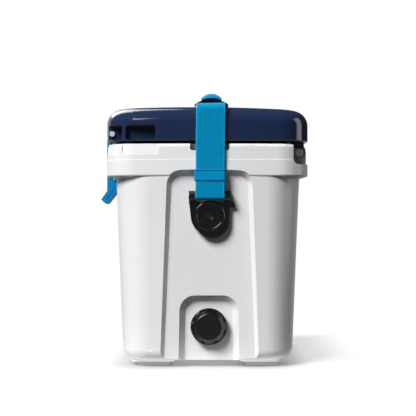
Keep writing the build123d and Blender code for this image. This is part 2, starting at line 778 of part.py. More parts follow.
with BuildPart() as strap_brackets:
    for side in (1, -1):
        with BuildSketch(section(side * bracket_x)) as plate:
            with Locations((fitting_y, pivot_z)):
                Circle(bracket_round)
            with Locations((fitting_y + bracket_lobe_y, pivot_z - bracket_lobe_z)):
                Circle(bracket_lobe)
            with Locations((fitting_y, pivot_z + bracket_top - bracket_head / 2)):
                Rectangle(bracket_width, bracket_head)
            make_hull()
            # stop lug behind the rear ear
            with Locations((fitting_y, pivot_z)):
                Polygon((0, stop_top), (bracket_width / 2, stop_top), (stop_reach, stop_low), (0, stop_low), align=None)
            with Locations((fitting_y, pivot_z)):
                Circle(button_shank + run, mode=Mode.SUBTRACT)
        extrude(plate.sketch, amount=side * bracket_plate)
        # window for the webbing
        with BuildSketch(section(side * bracket_x)) as window:
            with Locations((fitting_y, pivot_z + bracket_top)):
                Rectangle(2 * ear_inner, 2 * (bracket_top - bracket_sill))
        extrude(window.sketch, amount=side * past, mode=Mode.SUBTRACT)
        # ears that carry the bar
        for hand in (1, -1):
            with BuildSketch(lengthwise(fitting_y + hand * ear_inner)) as ear:
                with Locations((side * bar_x, bar_z)):
                    Circle(ear_round)
                with Locations((side * ear_x, pivot_z + bracket_top - ear_root / 2)):
                    Rectangle(bracket_plate, ear_root)
                make_hull()
                with Locations((side * bar_x, bar_z)):
                    Circle(bar_radius, mode=Mode.SUBTRACT)
            extrude(ear.sketch, amount=-hand * (bracket_width / 2 - ear_inner))
strap_brackets.part.label = "strap_brackets"
export_step(strap_brackets.part, "parts/strap_brackets.step")

with BuildPart() as strap_bars:
    with BuildSketch(lengthwise(fitting_y)):
        with Locations((bar_x, bar_z), (-bar_x, bar_z)):
            Circle(bar_radius)
    extrude(amount=bracket_width / 2, both=True)
strap_bars.part.label = "strap_bars"
export_step(strap_bars.part, "parts/strap_bars.step")

with BuildPart() as strap_webbing:
    # arch over the lid, round the bar at each end
    with BuildSketch(lengthwise(fitting_y)) as arch:
        with BuildLine():
            slant = strap_bend * (1 - sqrt(0.5))
            for side in (1, -1):
                turn = side * (bar_x - loop)
                edge = side * web_x
                ThreePointArc((turn, bar_z), (side * bar_x, bar_z - loop), (edge, bar_z))
                Line((edge, bar_z), (edge, web_top - strap_bend))
                ThreePointArc(
                    (edge, web_top - strap_bend),
                    (edge - side * slant, web_top - slant),
                    (edge - side * strap_bend, web_top),
                )
            Line((web_x - strap_bend, web_top), (strap_bend - web_x, web_top))
        trace(line_width=strap_thickness)
    extrude(arch.sketch, amount=strap_width / 2, both=True)
    # the end of the webbing, sewn to its own back above the bar
    for side in (1, -1):
        with BuildSketch(lengthwise(fitting_y)) as flap:
            with BuildLine():
                turn = side * (bar_x - loop)
                sewn = side * sewn_x
                bend = (turn, bar_z + sewn_turn)
                FilletPolyline((sewn, sewn_top), (sewn, sewn_low), bend, (turn, bar_z - bar_run), radius=sewn_turn)
            trace(line_width=strap_thickness)
        extrude(flap.sketch, amount=strap_width / 2, both=True)
strap_webbing.part.label = "strap_webbing"
export_step(strap_webbing.part, "parts/strap_webbing.step")

with BuildPart() as strap_keepers:
    low = collar_bottom - keeper_low
    inner_x = sewn_x - strap_thickness / 2
    outer_x = web_x + strap_thickness / 2
    for side in (1, -1):
        with BuildSketch(level(low, fitting_y)) as sleeve:
            with Locations((side * (inner_x + outer_x) / 2, 0)):
                room = strap_width + 2 * (keeper_over - keeper_wall)
                Rectangle(outer_x - inner_x + 2 * keeper_wall, strap_width + 2 * keeper_over)
                Rectangle(outer_x - inner_x, room, mode=Mode.SUBTRACT)
        extrude(sleeve.sketch, amount=keeper_height)
strap_keepers.part.label = "strap_keepers"
export_step(strap_keepers.part, "parts/strap_keepers.step")

# slider on the webbing, and the webbing folded over its middle bar
slider_x = half_length - slider_in
slider_z = web_top - strap_thickness / 2 - run
slider_width = strap_width + slider_front + slider_rear + 2 * run
slider_aside = (slider_rear - slider_front) / 2
fold_y = fitting_y + slider_aside
with BuildPart() as strap_slider:
    with BuildSketch(level(slider_z, fitting_y)) as frame:
        with Locations((slider_x, slider_aside)):
            RectangleRounded(slider_length, slider_width, slider_corner)
        with Locations((slider_x, 0)):
            Rectangle(slider_length - 2 * slider_bar, strap_width + 2 * run, mode=Mode.SUBTRACT)
    extrude(frame.sketch, amount=slider_height)
    with BuildSketch(level(slider_z, fitting_y)) as way:
        with Locations((slider_x, 0)):
            Rectangle(slider_length, strap_width + 2 * run)
    extrude(way.sketch, amount=strap_thickness + 2 * run, mode=Mode.SUBTRACT)
    with BuildSketch(level(slider_z + strap_thickness + 2 * run, fitting_y)) as bar:
        with Locations((slider_x, 0)):
            Rectangle(2 * slider_bar, strap_width + 2 * run + slider_front)
    extrude(bar.sketch, amount=slider_bar)
    # arched across the webbing
    with BuildSketch(section(slider_x)) as crown:
        with BuildLine():
            front = fold_y - slider_width / 2
            rear = fold_y + slider_width / 2
            edge = slider_z + slider_edge
            ThreePointArc((front, edge), (fold_y, slider_z + slider_height), (rear, edge))
            Polyline((rear, edge), (rear, slider_z), (front, slider_z), (front, edge))
        make_face()
    extrude(crown.sketch, amount=slider_length, both=True, mode=Mode.INTERSECT)
strap_slider.part.label = "strap_slider"
export_step(strap_slider.part, "parts/strap_slider.step")

with BuildPart() as strap_fold:
    with BuildSketch(lengthwise(fold_y)) as fold:
        base = slider_z + slider_height + run + strap_thickness / 2
        with BuildLine():
            ThreePointArc(
                (slider_x - fold_half, base),
                (slider_x, base + fold_height),
                (slider_x + fold_half, base),
            )
            Line((slider_x - fold_half, base), (slider_x + fold_half, base))
        trace(line_width=strap_thickness)
    extrude(fold.sketch, amount=fold_width / 2, both=True)
strap_fold.part.label = "strap_fold"
export_step(strap_fold.part, "parts/strap_fold.step")

# buttons on which the brackets turn
button_x = bracket_x + bracket_plate + run
washers = []
for side in (1, -1):
    with BuildPart() as washer:
        extrude(pivot_disc(side * (bracket_x - run), washer_radius, screw_shank), amount=-side * wall)
        split(bisect_by=end_plane(side, panel_depth), keep=Keep.TOP)
    washers.append(washer.part)
with BuildPart() as pivot_washers:
    add(washers)
pivot_washers.part.label = "pivot_washers"
export_step(pivot_washers.part, "parts/pivot_washers.step")

with BuildPart() as pivot_buttons:
    for side in (1, -1):
        # shank that the bracket turns on
        shank = pivot_disc(side * (bracket_x - run), button_shank)
        extrude(shank, amount=side * (bracket_plate + 2 * run))
        extrude(pivot_disc(side * button_x, button_radius), amount=side * button_thickness)
    rims = pivot_buttons.edges().filter_by(GeomType.CIRCLE).group_by(Axis.X)
    fillet(rims[-1] + rims[0], button_edge)
    for side in (1, -1):
        # dished face inside a thin rim, and the screw's counterbore
        floor_x = side * (button_x + button_thickness - button_dish)
        dish = pivot_disc(floor_x, button_radius - button_edge - button_rim)
        extrude(dish, amount=side * button_thickness, mode=Mode.SUBTRACT)
        counterbore = pivot_disc(side * (button_x + button_web), button_screw + seam)
        extrude(counterbore, amount=side * button_thickness, mode=Mode.SUBTRACT)
        bore = pivot_disc(side * (bracket_x - past), screw_shank)
        extrude(bore, amount=side * 2 * past, mode=Mode.SUBTRACT)
pivot_buttons.part.label = "pivot_buttons"
export_step(pivot_buttons.part, "parts/pivot_buttons.step")

with BuildPart() as pivot_screws:
    for side in (1, -1):
        seat = side * (button_x + button_web)
        extrude(pivot_disc(seat, button_screw), amount=side * button_screw_height)
        reach = button_x + button_web - panel_at(pivot_z) + wall - 2 * seam
        extrude(pivot_disc(seat, screw_shank), amount=-side * reach)
        with BuildSketch(section(seat + side)) as socket:
            with Locations((fitting_y, pivot_z)):
                RegularPolygon(button_key, 6)
        extrude(socket.sketch, amount=side * button_screw_height, mode=Mode.SUBTRACT)
pivot_screws.part.label = "pivot_screws"
export_step(pivot_screws.part, "parts/pivot_screws.step")

# ---------------------------------------------------------------- drain
niche_x = panel_at(drain_z, niche_depth)
tub_x = tub_length / 2 - (tub_top - drain_z) * tan(radians(tub_draft))
spout_face = niche_x + spout_lift

with BuildPart() as drain_spout:
    extrude(drain_disc(spout_face, spout_flange), amount=-spout_lift - wall)
    split(bisect_by=end_plane(1, panel_depth + niche_depth), keep=Keep.TOP)
    extrude(drain_disc(spout_face, spout_radius), amount=tub_x - spout_lift - wall - spout_face)
    extrude(drain_disc(spout_face, spout_bore), amount=-half_length, mode=Mode.SUBTRACT)
drain_spout.part.label = "drain_spout"
export_step(drain_spout.part, "parts/drain_spout.step")

with BuildPart() as drain_nut:
    with BuildSketch(section(tub_x + liner_wall)) as nut:
        with Locations((drain_y, drain_z)):
            RegularPolygon(nut_radius, 6)
            Circle(spout_radius, mode=Mode.SUBTRACT)
    extrude(nut.sketch, amount=-nut_height)
    tub_wall = Plane(
        origin=(tub_length / 2, mid_y, tub_top),
        x_dir=(0, 1, 0),
        z_dir=(cos(radians(tub_draft)), 0, -sin(radians(tub_draft))),
    )
    split(bisect_by=tub_wall, keep=Keep.BOTTOM)
drain_nut.part.label = "drain_nut"
export_step(drain_nut.part, "parts/drain_nut.step")

with BuildPart() as drain_ring:
    ring = drain_disc(spout_face + run, spout_bore + ring_width, cap_plug + cap_plug_run)
    extrude(ring, amount=ring_thickness)
drain_ring.part.label = "drain_ring"
export_step(drain_ring.part, "parts/drain_ring.step")

cap_back = spout_face + run + ring_thickness + run
with BuildPart() as drain_cap:
    extrude(drain_disc(cap_back, cap_radius), amount=cap_rim)
    extrude(drain_disc(cap_back + cap_rim, cap_cone), amount=cap_height - cap_rim, taper=cap_cone_slope)
    with BuildSketch(section(cap_back + cap_rim)) as flutes:
        with Locations((drain_y, drain_z)):
            with PolarLocations(cap_flute_out, cap_flutes, start_angle=180 / cap_flutes):
                Circle(cap_flute)
    extrude(flutes.sketch, amount=cap_height, mode=Mode.SUBTRACT)
    fillet(drain_cap.edges().group_by(Axis.X)[-1], cap_edge)
    extrude(drain_disc(cap_back, cap_plug), amount=-cap_plug_length)
drain_cap.part.label = "drain_cap"
export_step(drain_cap.part, "parts/drain_cap.step")


# ---------------------------------------------------------------- feet
def foot_discs(z, radius):
    """Four discs on the foot screws' lines."""
    with BuildSketch(level(z)) as discs:
        with GridLocations(2 * foot_x, 2 * foot_y, 2, 2):
            Circle(radius)
    return discs.sketch


with BuildPart() as foot_pads:
    with BuildSketch(level(foot_boss)):
        with GridLocations(2 * foot_x, 2 * foot_y, 2, 2):
            width = 2 * (foot_half_x - foot_step_x)
            RectangleRounded(width, 2 * (foot_half_y - foot_step_y), foot_corner - foot_step_x)
    extrude(amount=-foot_boss, taper=foot_slope)
    extrude(foot_discs(0, screw_head + 1), amount=foot_screw_up, mode=Mode.SUBTRACT)
    extrude(foot_discs(0, screw_shank), amount=foot_boss, mode=Mode.SUBTRACT)
foot_pads.part.label = "foot_pads"
export_step(foot_pads.part, "parts/foot_pads.step")

with BuildPart() as foot_screws:
    extrude(foot_discs(foot_screw_up, screw_head), amount=-screw_sink)
    extrude(foot_discs(foot_screw_up, screw_shank), amount=foot_boss - foot_screw_up + foot_screw_grip)
foot_screws.part.label = "foot_screws"
export_step(foot_screws.part, "parts/foot_screws.step")
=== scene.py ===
# %% [markdown]
# # A small hard cooler
# This file dresses the imported cooler: moulded polyethylene shells, a rubbery
# latch, woven webbing and black nylon fittings. The rigid pieces come ready in
# model.glb and only need finishes. The soft pieces are modelled here, because
# their charm is in small curved forms: the strap's webbing, its two keeper loops
# and the fold over the slider.

# %% Load the cooler
from math import acos, cos, degrees, pi, radians, sin, tan

import bmesh
import bpy
from mathutils import Matrix, Vector


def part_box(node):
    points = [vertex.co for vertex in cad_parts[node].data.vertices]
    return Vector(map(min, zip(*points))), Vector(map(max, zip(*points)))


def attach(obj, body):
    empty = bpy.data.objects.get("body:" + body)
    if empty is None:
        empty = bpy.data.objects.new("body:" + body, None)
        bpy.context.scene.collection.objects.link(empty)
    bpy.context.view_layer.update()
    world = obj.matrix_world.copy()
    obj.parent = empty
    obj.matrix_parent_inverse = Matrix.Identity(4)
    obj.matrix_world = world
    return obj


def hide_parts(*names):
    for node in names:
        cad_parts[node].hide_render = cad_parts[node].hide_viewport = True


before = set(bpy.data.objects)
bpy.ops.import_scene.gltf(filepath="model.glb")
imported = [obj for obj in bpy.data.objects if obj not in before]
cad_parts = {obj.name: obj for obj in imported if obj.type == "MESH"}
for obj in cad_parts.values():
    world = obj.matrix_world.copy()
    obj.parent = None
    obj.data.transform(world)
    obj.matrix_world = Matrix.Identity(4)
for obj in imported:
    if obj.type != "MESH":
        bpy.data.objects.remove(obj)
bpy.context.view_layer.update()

# %% [markdown]
# ## Camera
# The picture is an end view, taken from the drain side with a long lens at
# about three fifths of the cooler's height. The camera is level, so all upright
# edges stay upright.

# %% Camera
MM = 0.001
MIDDLE_Y = 0.0091       # middle of the cooler from front to rear
CAMERA_PLACE = (1.8875, MIDDLE_Y + 1 * MM, 0.229)
LENS_MM = 103.8
FILM_MM = 36.0
camera = bpy.data.objects.new("camera", bpy.data.cameras.new("camera"))
camera.data.lens = LENS_MM
camera.data.sensor_width = FILM_MM
camera.location = CAMERA_PLACE
camera.rotation_euler = (radians(90), 0, radians(90))
bpy.context.scene.collection.objects.link(camera)
bpy.context.scene.camera = camera
bpy.context.scene.view_settings.view_transform = "Standard"

# %% [markdown]
# ## Helpers for materials
# Colours are written as sRGB hex codes, the way a paint program shows them.
# Shaders work in linear light, so one function turns the one into the other.
# A second function adds a node, sets it up and links it in a single line, and a
# third makes an empty material.

# %% Colour and node helpers
WHITE = (1, 1, 1, 1)


def linear(code, alpha=1.0):
    """An sRGB hex colour as a linear RGBA tuple."""
    parts = [int(code[i:i + 2], 16) / 255 for i in (1, 3, 5)]
    return (*[p / 12.92 if p <= 0.04045 else ((p + 0.055) / 1.055) ** 2.4 for p in parts], alpha)


def add(tree, kind, settings=None, **inputs):
    """Adds a node. Each input, named From_Min or by number as _0, is a value or a socket to link."""
    node = tree.nodes.new("ShaderNode" + kind)
    for name, value in (settings or {}).items():
        setattr(node, name, value)
    for name, value in inputs.items():
        socket = node.inputs[int(name[1:])] if name[1:].isdigit() else node.inputs[name.replace("_", " ")]
        if isinstance(value, bpy.types.NodeSocket):
            tree.links.new(value, socket)
        else:
            socket.default_value = value
    return node


def calculate(tree, operation, *terms):
    """One step of arithmetic in a node tree; returns its result."""
    inputs = {f"_{number}": term for number, term in enumerate(terms)}
    return add(tree, "Math", {"operation": operation}, **inputs).outputs[0]


def new_material(name):
    """An empty material and its node tree."""
    material = bpy.data.materials.new(name)
    material.use_nodes = True
    material.node_tree.nodes.clear()
    return material, material.node_tree


print("light grey in linear light:", linear("#e8e8e8"))

# %% [markdown]
# ## Floor and light
# A plain white surround with one large soft key lamp, high and to the left of
# the camera, as in a product studio, and a weaker lamp behind on the right. Sun
# lamps with a wide angle are the simplest for this: their light is even all over
# the floor.
#
# The floor differs with the kind of ray. The camera sees white paper with a soft
# shadow close to the cooler, part cast by the lamps and part painted by dimming
# the paper's glow there, and reflections see the same, but with the white dimmed.
# The light that it throws back on the cooler, from diffuse paper and from a
# painted glow, is strong right at the foot and weak from farther off.

# %% Floor
FLOOR_HALF = 40
FOOT_HALF = {"X": 0.175, "Y": 0.125}    # half of the area that the cooler stands on
# each fade: two distances from the foot in metres, and the values at the two
SHADOW_TO_WHITE = (0.03, 0.13, 0, 1)        # share of plain white
PAPER_RETURN = (0.0, 0.035, 0.25, 0.03)     # share of light that the paper returns
# FOOT_GLOW is a painted glow: the floor glows near the foot and so lights the cooler's foot
FOOT_GLOW = (-0.02, 0.014, 1.1, 0.0)        # light thrown up on the cooler's foot
CREVICE = 0.035         # how near the cooler has to be to darken the paper, in metres
CREVICE_GLOW = 0.02     # the paper's own glow in the deepest shadow
OPEN_GLOW = 0.62        # and where nothing is near
DIM_TO_REFLECTIONS = 0.4


def add_floor():
    """A floor of white paper, staged under the cooler."""
    mesh = bpy.data.meshes.new("floor")
    form = bmesh.new()
    bmesh.ops.create_grid(form, x_segments=1, y_segments=1, size=FLOOR_HALF)
    form.to_mesh(mesh)
    form.free()
    floor = bpy.data.objects.new("floor", mesh)
    bpy.context.scene.collection.objects.link(floor)
    material, tree = new_material("paper_floor")
    ray = add(tree, "LightPath")
    seen = calculate(tree, "MAXIMUM", ray.outputs["Is Camera Ray"], ray.outputs["Is Glossy Ray"])
    # how far a point of the floor lies outside the cooler's foot
    place = add(tree, "SeparateXYZ", Vector=add(tree, "TexCoord").outputs["Object"])
    beyond = []
    for axis, half in FOOT_HALF.items():
        away = calculate(tree, "ABSOLUTE", place.outputs[axis])
        beyond.append(calculate(tree, "SUBTRACT", away, half))
    reach = calculate(tree, "MAXIMUM", *beyond)

    def fade(near, far, at_near, at_far):
        """A smooth change with the distance from the cooler's foot."""
        ends = {"From_Min": near, "From_Max": far, "To_Min": at_near, "To_Max": at_far}
        return add(tree, "MapRange", {"interpolation_type": "SMOOTHSTEP"}, Value=reach, **ends).outputs[0]

    # seen by the camera and by reflections: paper with a soft shadow, part cast and part painted by dimming
    # its glow near the cooler, plain white beyond
    contact = add(tree, "AmbientOcclusion", {"samples": 8}, Distance=CREVICE)
    dim = add(tree, "MapRange", Value=contact.outputs["AO"], To_Min=CREVICE_GLOW, To_Max=OPEN_GLOW)
    glow = add(tree, "Emission", Color=WHITE, Strength=dim.outputs[0])
    paper = add(tree, "BsdfDiffuse", Color=linear("#9a9a9a"))
    shaded = add(tree, "AddShader", _0=paper.outputs[0], _1=glow.outputs[0])
    seen_white = add(tree, "MapRange", Value=ray.outputs["Is Camera Ray"], To_Min=DIM_TO_REFLECTIONS)
    white = add(tree, "Emission", Color=WHITE, Strength=seen_white.outputs[0])
    visible = add(tree, "MixShader", Fac=fade(*SHADOW_TO_WHITE), _1=shaded.outputs[0], _2=white.outputs[0])
    # what the floor throws back on the cooler, diffuse paper and a painted glow: much close by, little from
    # afar
    plain = add(tree, "BsdfDiffuse", Color=fade(*PAPER_RETURN))
    painted_foot_glow = add(tree, "Emission", Color=WHITE, Strength=fade(*FOOT_GLOW))
    thrown = add(tree, "AddShader", _0=plain.outputs[0], _1=painted_foot_glow.outputs[0])
    both = add(tree, "MixShader", Fac=seen, _1=thrown.outputs[0], _2=visible.outputs[0])
    add(tree, "OutputMaterial", Surface=both.outputs[0])
    material.cycles.emission_sampling = "NONE"
    mesh.materials.append(material)
    return floor


print("floor", add_floor().dimensions)

# %% Surround
world = bpy.data.worlds.new("surround")
bpy.context.scene.world = world
world.use_nodes = True
world.node_tree.nodes.clear()
tree = world.node_tree
ray = add(tree, "LightPath")
white = add(tree, "Background", Color=WHITE, Strength=1.0)
# the room is lighter on the left (-Y) and overhead than on the right
way = add(tree, "SeparateXYZ", Vector=add(tree, "TexCoord").outputs["Generated"])
side = add(tree, "MapRange", Value=way.outputs["Y"], From_Min=-1, From_Max=1, To_Min=0.1, To_Max=0.025)
height = add(tree, "MapRange", Value=way.outputs["Z"], From_Min=-0.2, From_Max=1, To_Min=0.6, To_Max=1.8)
level = calculate(tree, "MULTIPLY", side.outputs[0], height.outputs[0])
room = add(tree, "Background", Color=WHITE, Strength=level)
# reflections that graze the left side run on to the white paper behind
behind = add(tree, "MapRange", Value=way.outputs["X"], From_Min=-0.45, From_Max=-0.7, To_Min=0, To_Max=1)
left = calculate(tree, "LESS_THAN", way.outputs["Y"], -0.1)
paper = calculate(tree, "MULTIPLY", behind.outputs[0], left)
paper = calculate(tree, "MULTIPLY", paper, ray.outputs["Is Glossy Ray"])
seen = calculate(tree, "MAXIMUM", paper, ray.outputs["Is Camera Ray"])
mixed = add(tree, "MixShader", Fac=seen, _1=room.outputs[0], _2=white.outputs[0])
add(tree, "OutputWorld", Surface=mixed.outputs[0])
print("surround:", world.name)


# %% Key and fill lamps
def aim(lamp, place, target):
    """Puts a lamp at a place, turns it to its target and returns its object."""
    lamp_object = bpy.data.objects.new(lamp.name, lamp)
    bpy.context.scene.collection.objects.link(lamp_object)
    lamp_object.location = place
    lamp_object.rotation_euler = (Vector(target) - Vector(place)).to_track_quat("-Z", "Y").to_euler()
    return lamp_object


SUN_TARGET = (0, 0, 0.2)


def sun(name, energy, spread, place):
    """A sun lamp of a spread in degrees, shining from a place at the cooler, unseen in reflections."""
    lamp = bpy.data.lights.new(name, "SUN")
    lamp.energy = energy
    lamp.angle = radians(spread)
    aim(lamp, place, SUN_TARGET).visible_glossy = False


sun("key", 4.75, 26, (1.71, -1.39, 2.27))
sun("fill", 1.5, 40, (-1.27, 1.51, 0.6))

# %% [markdown]
# The glossy lid shows what stands round it as clear shapes: a bright panel
# behind it on the left, a tall one on the right and a small bright one on the
# key's side. They are lamps that only reflections can see, each given by its
# direction and the angles that it covers, so they draw the shapes and leave the
# even light alone.

# %% Panels that only reflections see
PANEL_DISTANCE = 2.0
PANEL_MIDDLE = Vector((0.1, MIDDLE_Y, 0.3))


def panel(name, azimuth, elevation, width, height, radiance):
    """A lamp seen only in reflections, at an azimuth from +X and an elevation, in degrees."""
    lamp = bpy.data.lights.new(name, "AREA")
    lamp.shape = "RECTANGLE"
    lamp.size = 2 * PANEL_DISTANCE * tan(radians(width / 2))
    lamp.size_y = 2 * PANEL_DISTANCE * tan(radians(height / 2))
    # the energy goes with the area, so a panel's brightness doesn't depend on its size
    lamp.energy = 4 * radiance * lamp.size * lamp.size_y
    turn = radians(azimuth)
    level = PANEL_DISTANCE * cos(radians(elevation))
    away = Vector((level * cos(turn), level * sin(turn), PANEL_DISTANCE * sin(radians(elevation))))
    lamp_object = aim(lamp, PANEL_MIDDLE + away, PANEL_MIDDLE)
    lamp_object.visible_camera = False
    lamp_object.visible_diffuse = False
    return lamp_object


panel("panel_left_behind", -138, 48, 25, 50, 6.0)
panel("panel_right", 92, 11, 22, 48, 2.0)
panel("key_tube", -24, 29, 11, 7, 7.0)
# two lamps that only the black fittings see: a broad one on the left, whose
# arc runs round the drain cap, and a narrow one on the right
fittings = bpy.data.collections.new("black_fittings")
for name in ("drain_cap", "pivot_buttons", "pivot_screws", "strap_brackets", "hinge_pins"):
    fittings.objects.link(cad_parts[name])
for glint in (panel("glint_left", -72, 50, 44, 38, 36.0), panel("glint_right", 70, 12, 12, 40, 14.0)):
    glint.light_linking.receiver_collection = fittings

# %% [markdown]
# ## Moulded plastics
# The body and the lid are rotationally moulded polyethylene: a smooth, slightly
# waxy shell with a fine skin from the mould, here about 1.5 mm across. The
# colour is never quite even either, and drifts a little over some 45 mm. The
# nylon and rubber pieces are made the same way with a finer skin.

# %% Moulded polyethylene, nylon and rubber
DRIFT = 45 * MM
SKIN_STRENGTH = 0.35


def moulded(name, code, shade, roughness, skin_mm, skin_height, spread=0.06, edge_mm=0.6, ior=1.5):
    """A moulded plastic: colour, a slow drift to a second shade, skin, gloss and soft edges."""
    material, tree = new_material(name)
    place = add(tree, "TexCoord").outputs["Object"]
    waves = add(tree, "TexNoise", Vector=place, Scale=1 / DRIFT, Detail=2.0)
    colours = {"_6": linear(code), "_7": linear(shade)}
    tint = add(tree, "Mix", {"data_type": "RGBA"}, Factor=waves.outputs["Fac"], **colours)
    skin = add(tree, "TexNoise", Vector=place, Scale=1 / (skin_mm * MM), Detail=3.0).outputs["Fac"]
    gloss = add(tree, "MapRange", Value=skin, To_Min=roughness - spread, To_Max=roughness + spread)
    edges = add(tree, "Bevel", {"samples": 6}, Radius=edge_mm * MM).outputs[0]
    bump = add(tree, "Bump", Height=skin, Strength=SKIN_STRENGTH, Distance=skin_height * MM, Normal=edges)
    surface = add(tree, "BsdfPrincipled", Roughness=gloss.outputs[0], Normal=bump.outputs[0], IOR=ior,
                  Base_Color=tint.outputs[2])
    add(tree, "OutputMaterial", Surface=surface.outputs[0])
    return material


white_shell = moulded("moulded_polyethylene_white", "#ebebeb", "#e5e5e5", 0.32, 1.6, 0.03, edge_mm=0.4)
white_liner = moulded("moulded_polyethylene_liner", "#e9e9e7", "#e2e2e0", 0.42, 1.6, 0.03)
navy_shell = moulded("moulded_polyethylene_navy", "#1f2d4e", "#1b2846", 0.13, 1.4, 0.012, 0.03, edge_mm=1.4)
black_nylon = moulded("moulded_nylon_black", "#050505", "#030303", 0.2, 0.9, 0.02, 0.05, 0.9, 1.48)
grey_nylon = moulded("moulded_nylon_dark_grey", "#868788", "#7c7d7e", 0.4, 0.9, 0.05, ior=1.42)
blue_elastomer = moulded("moulded_elastomer_blue", "#0080bb", "#0078ae", 0.42, 1.1, 0.03, ior=1.4)
black_rubber = moulded("moulded_rubber_black", "#0c0c0c", "#090909", 0.6, 0.8, 0.05, ior=1.42)
foot_rubber = moulded("moulded_rubber_grey_green", "#9b9d96", "#92948d", 0.65, 0.8, 0.05)
foam = moulded("polyurethane_foam", "#e9e2c8", "#dbd3b6", 0.9, 0.9, 0.3)
print("plastics:", [item.name for item in bpy.data.materials])

# %% [markdown]
# ## Steel
# The latch rod, the strap's bars and most of the screws are satin stainless
# steel, the screws of the strap's pivots are blackened, and the hinge pins are
# zinc plated. A fine grit, 0.4 mm across, roughens their shine.

# %% Steel
GRIT = 0.4 * MM
STEEL_EDGE = 0.4 * MM
STEEL_SPREAD = 0.07     # the grit changes the roughness by so much both ways


def steel(name, code, roughness, metallic=1.0):
    """A steel with a fine grit and soft edges; a plated or satin one is less than fully metallic."""
    material, tree = new_material(name)
    place = add(tree, "TexCoord").outputs["Object"]
    grit = add(tree, "TexNoise", Vector=place, Scale=1 / GRIT, Detail=2.0).outputs["Fac"]
    ends = {"To_Min": roughness - STEEL_SPREAD, "To_Max": roughness + STEEL_SPREAD}
    gloss = add(tree, "MapRange", Value=grit, **ends)
    edges = add(tree, "Bevel", {"samples": 6}, Radius=STEEL_EDGE).outputs[0]
    bump = add(tree, "Bump", Height=grit, Strength=0.2, Distance=0.02 * MM, Normal=edges)
    surface = add(tree, "BsdfPrincipled", Roughness=gloss.outputs[0], Normal=bump.outputs[0],
                  Base_Color=linear(code), Metallic=metallic)
    add(tree, "OutputMaterial", Surface=surface.outputs[0])
    return material


bright_steel = steel("satin_stainless_steel", "#f0f0ee", 0.4, 0.45)
black_steel = steel("blackened_stainless_steel", "#3b3b3c", 0.34)
pin_steel = steel("zinc_plated_steel", "#96979a", 0.45, 0.8)
print("metals:", bright_steel.name, black_steel.name, pin_steel.name)

# %% [markdown]
# ## Woven webbing
# The strap is polyester webbing: thick warp threads run along it, and finer
# weft threads cross them and show as small ribs. A plain colour would look
# like painted tape. The pattern has to follow the strap round its bends, so it
# doesn't read Object coordinates: each point of the webbing carries how far it
# lies along the strap and across it, in metres, and the weave is drawn from
# those two numbers. Warp threads are 1.25 mm apart and ribs 1.6 mm, and the
# binding of the keeper loops is a little finer.

# %% Webbing material
RIB_HEIGHT = 0.32       # how much of a thread's height goes up and down with the ribs
PATCH = 9 * MM          # size of the worn and fresh patches
PATCH_SHADES = (0.86, 1.12)


def woven(name, code, shade, selvedge_highlight_code, half_mm, edge_mm, warp_mm=1.25, rib_mm=1.6):
    """Webbing of a half width, with threads of two spacings, painted shade in the furrows, and a lighter
    selvedge that is partly a painted highlight.
    """
    material, tree = new_material(name)
    along = add(tree, "Attribute", {"attribute_name": "along"}).outputs["Fac"]
    across = add(tree, "Attribute", {"attribute_name": "across"}).outputs["Fac"]
    column = calculate(tree, "DIVIDE", across, warp_mm * MM)
    warp = calculate(tree, "ABSOLUTE", calculate(tree, "SINE", calculate(tree, "MULTIPLY", column, pi)))
    # every second column is half a rib further along
    odd = calculate(tree, "FLOORED_MODULO", calculate(tree, "FLOOR", column), 2.0)
    offset = calculate(tree, "MULTIPLY", odd, pi)
    rib = calculate(tree, "SINE", calculate(tree, "MULTIPLY_ADD", along, 2 * pi / (rib_mm * MM), offset))
    raised = calculate(tree, "MULTIPLY_ADD", rib, RIB_HEIGHT, 1 - RIB_HEIGHT)
    weave = calculate(tree, "MULTIPLY", warp, raised)
    # painted shade darkens the threads in the furrows; the selvedge is lighter, partly as a painted
    # highlight on the rounded edges
    colours = {"_6": linear(shade), "_7": linear(code)}
    tint = add(tree, "Mix", {"data_type": "RGBA"}, Factor=weave, **colours)
    selvedge = {"From_Min": (half_mm - edge_mm) * MM, "From_Max": (half_mm - 0.7 * edge_mm) * MM}
    edge = add(tree, "MapRange", Value=calculate(tree, "ABSOLUTE", across), **selvedge)
    colours = {"_6": tint.outputs[2], "_7": linear(selvedge_highlight_code)}
    with_selvedge_highlight = add(tree, "Mix", {"data_type": "RGBA"}, Factor=edge.outputs[0], **colours)
    place = add(tree, "TexCoord").outputs["Object"]
    wear = add(tree, "TexNoise", Vector=place, Scale=1 / PATCH, Detail=3.0).outputs["Fac"]
    drift = add(tree, "MapRange", Value=wear, To_Min=PATCH_SHADES[0], To_Max=PATCH_SHADES[1])
    colours = {"_6": with_selvedge_highlight.outputs[2], "_7": drift.outputs[0]}
    worn = add(tree, "Mix", {"data_type": "RGBA", "blend_type": "MULTIPLY"}, Factor=1.0, **colours)
    bump = add(tree, "Bump", Height=weave, Strength=0.6, Distance=0.25 * MM)
    surface = add(tree, "BsdfPrincipled", Base_Color=worn.outputs[2], Roughness=0.72, Normal=bump.outputs[0],
                  IOR=1.33, Sheen_Weight=0.05, Sheen_Roughness=0.5)
    add(tree, "OutputMaterial", Surface=surface.outputs[0])
    return material


# colours: the threads, the painted shade in the furrows, and the lighter selvedge, partly a painted
# highlight
blue_webbing = woven("woven_polyester_webbing", "#009fd2", "#0072a0", "#00aadb", 20.5, 2.0)
blue_binding = woven("woven_polyester_binding", "#009fd8", "#0080b8", "#22b4e6", 8.1, 1.6, 1.1, 1.3)
print("webbing:", blue_webbing.name, blue_binding.name)


# %% [markdown]
# ## A strip that grows
# Webbing is a flat strip that goes straight, then round a bend, then straight
# again. So it is made the way it is sewn: a row of points across the strap is
# extruded a little at a time, and each new row is either moved on or turned
# about the middle of a bend. Every row notes how far it has come.

